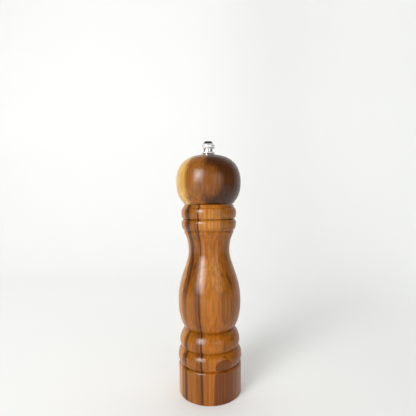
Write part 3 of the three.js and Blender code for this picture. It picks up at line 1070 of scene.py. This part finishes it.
def make_stator():
    """A ring with fine teeth in its lower cone and coarse ones in the throat above."""
    low, high = heights("stator")
    sides = 288
    outer_r = 15.0
    profile = [(13.3, 0.0), (12.8, 3.4), (10.4, 10.2), (13.6, 14.0)]

    def inner_r(z):
        for (r0, z0), (r1, z1) in zip(profile, profile[1:]):
            if z <= z1:
                return r0 + (r1 - r0) * (z - z0) / (z1 - z0)
        return profile[-1][0]

    rings = [
        circle(outer_r - 0.3, low, sides),
        circle(outer_r, low + 0.3, sides),
        circle(outer_r, high - 0.3, sides),
        circle(outer_r - 0.3, high, sides),
        circle(inner_r(14.0) + 0.2, high, sides),
    ]
    steps = 44
    for i in range(steps + 1):
        z = 14.0 - 14.0 * i / steps
        fine = z < 4.4
        plain = max(0.0, min(1.0, (13.2 - z) / 3, z / 0.6))
        if fine:
            rings.append(burr_ring(inner_r(z), low + z, 0.55 * plain, 40, -0.2 * z, sides))
        else:
            coarse = 0.55 + 0.8 * min(1.0, (z - 4.4) / 2.5)
            rings.append(burr_ring(inner_r(z), low + z, coarse * plain, 10, -0.05 * z, sides))
    add_piece("toothed_stator", loft(rings, closed=True), "stator", [ceramic])


# ---- Housing, bridge and plates -------------------------------------------------------------


def make_housing():
    low, high = heights("grinder_housing")
    points = [
        (15.3, low + 0.2),
        (15.5, low),
        (17.4, low),
        (17.7, low + 0.3),
        (17.7, high - 0.4),
        (17.3, high),
        (14.3, high),
        (14.0, high - 0.3),
        (14.0, low + 14.3),
        (15.3, low + 14.3),
    ]
    mesh = turned(points, METAL_SIDES)
    add_piece("housing_sleeve", mesh, "grinder_housing", [plastic])


def at(radius, angle):
    return radius * math.cos(angle), radius * math.sin(angle)


def arc(radius, start, end, steps):
    return [at(radius, start + (end - start) * i / steps) for i in range(steps + 1)]


def feed_window(middle_angle):
    """One window of the bridge: a bent slot with cut corners between two spokes."""
    half_span = math.radians(32)
    inner_r, outer_r, corner = 7.6, 13.3, 1.0
    start, end = middle_angle - half_span, middle_angle + half_span
    outer_cut, inner_cut = corner / outer_r, corner / inner_r
    points = arc(outer_r, start + outer_cut, end - outer_cut, 18)
    points += [at(outer_r - corner, end), at(inner_r + corner, end)]
    points += arc(inner_r, end - inner_cut, start + inner_cut, 14)
    points += [at(inner_r + corner, start), at(outer_r - corner, start)]
    return points


def ring_points(radius, sides, x=0.0, y=0.0):
    return [(x + px, y + py) for px, py, _ in circle(radius, 0, sides)]


def make_bridge():
    low, high = heights("bridge")
    holes = [ring_points(BRIDGE_HOLE_R, METAL_SIDES)]
    holes += [feed_window(quarter * math.pi / 2) for quarter in range(4)]
    mesh = plate_mesh(ring_points(BRIDGE_R, METAL_SIDES), holes, low, high, 0.25)
    add_piece("spoked_bridge", mesh, "bridge", [steel])


def make_base_plate():
    low, high = heights("base_plate")
    holes = [ring_points(BASE_PLATE_OPENING_R, METAL_SIDES)]
    for i in range(3):
        x, y = middle(f"base_plate_screw_{i + 1}")
        holes.append(ring_points(SCREW_HOLE_R, SCREW_HOLE_SIDES, x, y))
    mesh = plate_mesh(ring_points(BASE_PLATE_R, WOOD_SIDES), holes, low, high, 0.2)
    add_piece("retaining_ring", mesh, "base_plate", [steel])


def make_drive_plate():
    low, high = heights("drive_plate")
    holes = [[(x, y) for x, y, _ in square(SQUARE_HOLE, 0.4, 0, 64)]]
    for i in range(2):
        x, y = middle(f"drive_plate_screw_{i + 1}")
        holes.append(ring_points(SCREW_HOLE_R, SCREW_HOLE_SIDES, x, y))
    mesh = plate_mesh(ring_points(DRIVE_PLATE_R, METAL_SIDES), holes, low, high, 0.2)
    add_piece("drive_disc", mesh, "drive_plate", [steel])


make_body()
make_head()
make_knob()
make_ferrule()
make_shaft()
for number in (1, 2, 3):
    make_screw(f"base_plate_screw_{number}", f"ring_screw_{number}")
for number in (1, 2):
    make_screw(f"drive_plate_screw_{number}", f"disc_screw_{number}")
make_nut()
make_washer("spring_washer", "upper_washer", SPRING_WASHER_R, SPRING_WASHER_BORE_R)
make_washer("rotor_washer", "lower_washer", ROTOR_WASHER_R, ROUND_HOLE_R)
make_spring()
make_bush()
make_rotor()
make_stator()
make_housing()
make_bridge()
make_base_plate()
make_drive_plate()

# ---- Stage, lights and camera ---------------------------------------------------------------


def make_stage():
    """A pale paper sweep: a flat floor that curves up into a wall behind, its colour darker to the
    right in painted shade.
    """
    recipe = Recipe("pale_paper")
    parts = recipe.add("SeparateXYZ", Vector=recipe.place).outputs
    glow = recipe.step(parts[1], -0.1, 0.45, GLOW_NEAR, GLOW_FAR)
    right_glow = recipe.step(parts[0], 0.1, 0.8, 0.0, GLOW_RIGHT)
    # The colour darkening to the right is painted shade.
    rightward = recipe.step(parts[0], -0.1, 0.35)
    recipe.look(
        Base_Color=recipe.mix(rightward, PAPER_LEFT, PAPER_RIGHT_SHADED),
        Roughness=0.9,
        Specular_IOR_Level=0.1,
        Emission_Color=colour(1.0, 1.0, 1.0),
        Emission_Strength=recipe.math("ADD", glow, right_glow),
    )
    profile = [(STAGE_FRONT, 0.0), (BEND_START, 0.0)]
    for i in range(1, BEND_STEPS + 1):
        angle = math.pi / 2 * i / BEND_STEPS
        profile.append((BEND_START + BEND_R * math.sin(angle), BEND_R - BEND_R * math.cos(angle)))
    profile.append((BEND_START + BEND_R, 2.4))
    mesh = bmesh.new()
    left = [mesh.verts.new((-STAGE_HALF_WIDTH, y, z)) for y, z in profile]
    right = [mesh.verts.new((STAGE_HALF_WIDTH, y, z)) for y, z in profile]
    for i in range(len(profile) - 1):
        mesh.faces.new((left[i], right[i], right[i + 1], left[i + 1]))
    data = bpy.data.meshes.new("sweep")
    mesh.to_mesh(data)
    mesh.free()
    data.shade_smooth()
    data.materials.append(recipe.material)
    sweep = bpy.data.objects.new("sweep", data)
    bpy.context.scene.collection.objects.link(sweep)


def add_light(name, azimuth, elevation, distance, width, height, radiance):
    """A soft light aimed at the mill's middle."""
    target = Vector((0, 0, 0.12))
    a, e = math.radians(azimuth), math.radians(elevation)
    toward = Vector((math.sin(a) * math.cos(e), -math.cos(a) * math.cos(e), math.sin(e)))
    lamp = bpy.data.lights.new(name, "AREA")
    lamp.shape = "RECTANGLE"
    lamp.size = width
    lamp.size_y = height
    lamp.color = LIGHT_TINT
    lamp.energy = radiance * math.pi * width * height
    holder = bpy.data.objects.new(name, lamp)
    holder.location = target + toward * distance
    holder.rotation_euler = (-toward).to_track_quat("-Z", "Y").to_euler()
    bpy.context.scene.collection.objects.link(holder)
    return holder


def make_lights():
    add_light("key_softbox", *KEY)
    add_light("key_core", *KEY_CORE)
    add_light("right_window", *RIGHT)
    overhead = add_light("overhead", *OVERHEAD)
    overhead.visible_glossy = False
    make_world()


def make_world():
    """The room: dark in front, paler behind and overhead, and pale wherever the camera sees it."""
    world = bpy.data.worlds.new("studio")
    bpy.context.scene.world = world
    world.use_nodes = True
    nodes, links = world.node_tree.nodes, world.node_tree.links

    def smooth(source, start, end, low, high):
        node = nodes.new("ShaderNodeMapRange")
        node.interpolation_type = "SMOOTHSTEP"
        links.new(source, node.inputs["Value"])
        limits = (("From Min", start), ("From Max", end), ("To Min", low), ("To Max", high))
        for key, value in limits:
            if isinstance(value, bpy.types.NodeSocket):
                links.new(value, node.inputs[key])
            else:
                node.inputs[key].default_value = value
        return node.outputs[0]

    parts = nodes.new("ShaderNodeSeparateXYZ")
    links.new(nodes.new("ShaderNodeTexCoord").outputs["Generated"], parts.inputs[0])
    around = smooth(parts.outputs["Y"], 0.0, 0.6, WORLD_FRONT, WORLD_BACK)
    room = smooth(parts.outputs["Z"], 0.82, 0.96, around, WORLD_TOP)
    seen = nodes.new("ShaderNodeLightPath").outputs["Is Camera Ray"]
    strength = smooth(seen, 0.0, 1.0, room, WORLD_SEEN)
    background = nodes["Background"]
    background.inputs["Color"].default_value = colour(1.0, 1.0, 1.0)
    links.new(strength, background.inputs["Strength"])


def make_camera():
    lens = bpy.data.cameras.new("camera")
    lens.lens = CAMERA_LENS
    lens.sensor_width = SENSOR_WIDTH
    camera = bpy.data.objects.new("camera", lens)
    camera.location = Vector(CAMERA_PLACE) * MM
    pitch = math.radians(CAMERA_PITCH)
    aim = Vector((0, math.cos(pitch), -math.sin(pitch))).to_track_quat("-Z", "Y").to_matrix()
    roll = Matrix.Rotation(math.radians(-CAMERA_ROLL), 3, "Z")
    camera.rotation_euler = (aim @ roll).to_euler()
    bpy.context.scene.collection.objects.link(camera)
    bpy.context.scene.camera = camera


make_stage()
make_lights()
make_camera()
bpy.context.scene.view_settings.view_transform = "Standard"
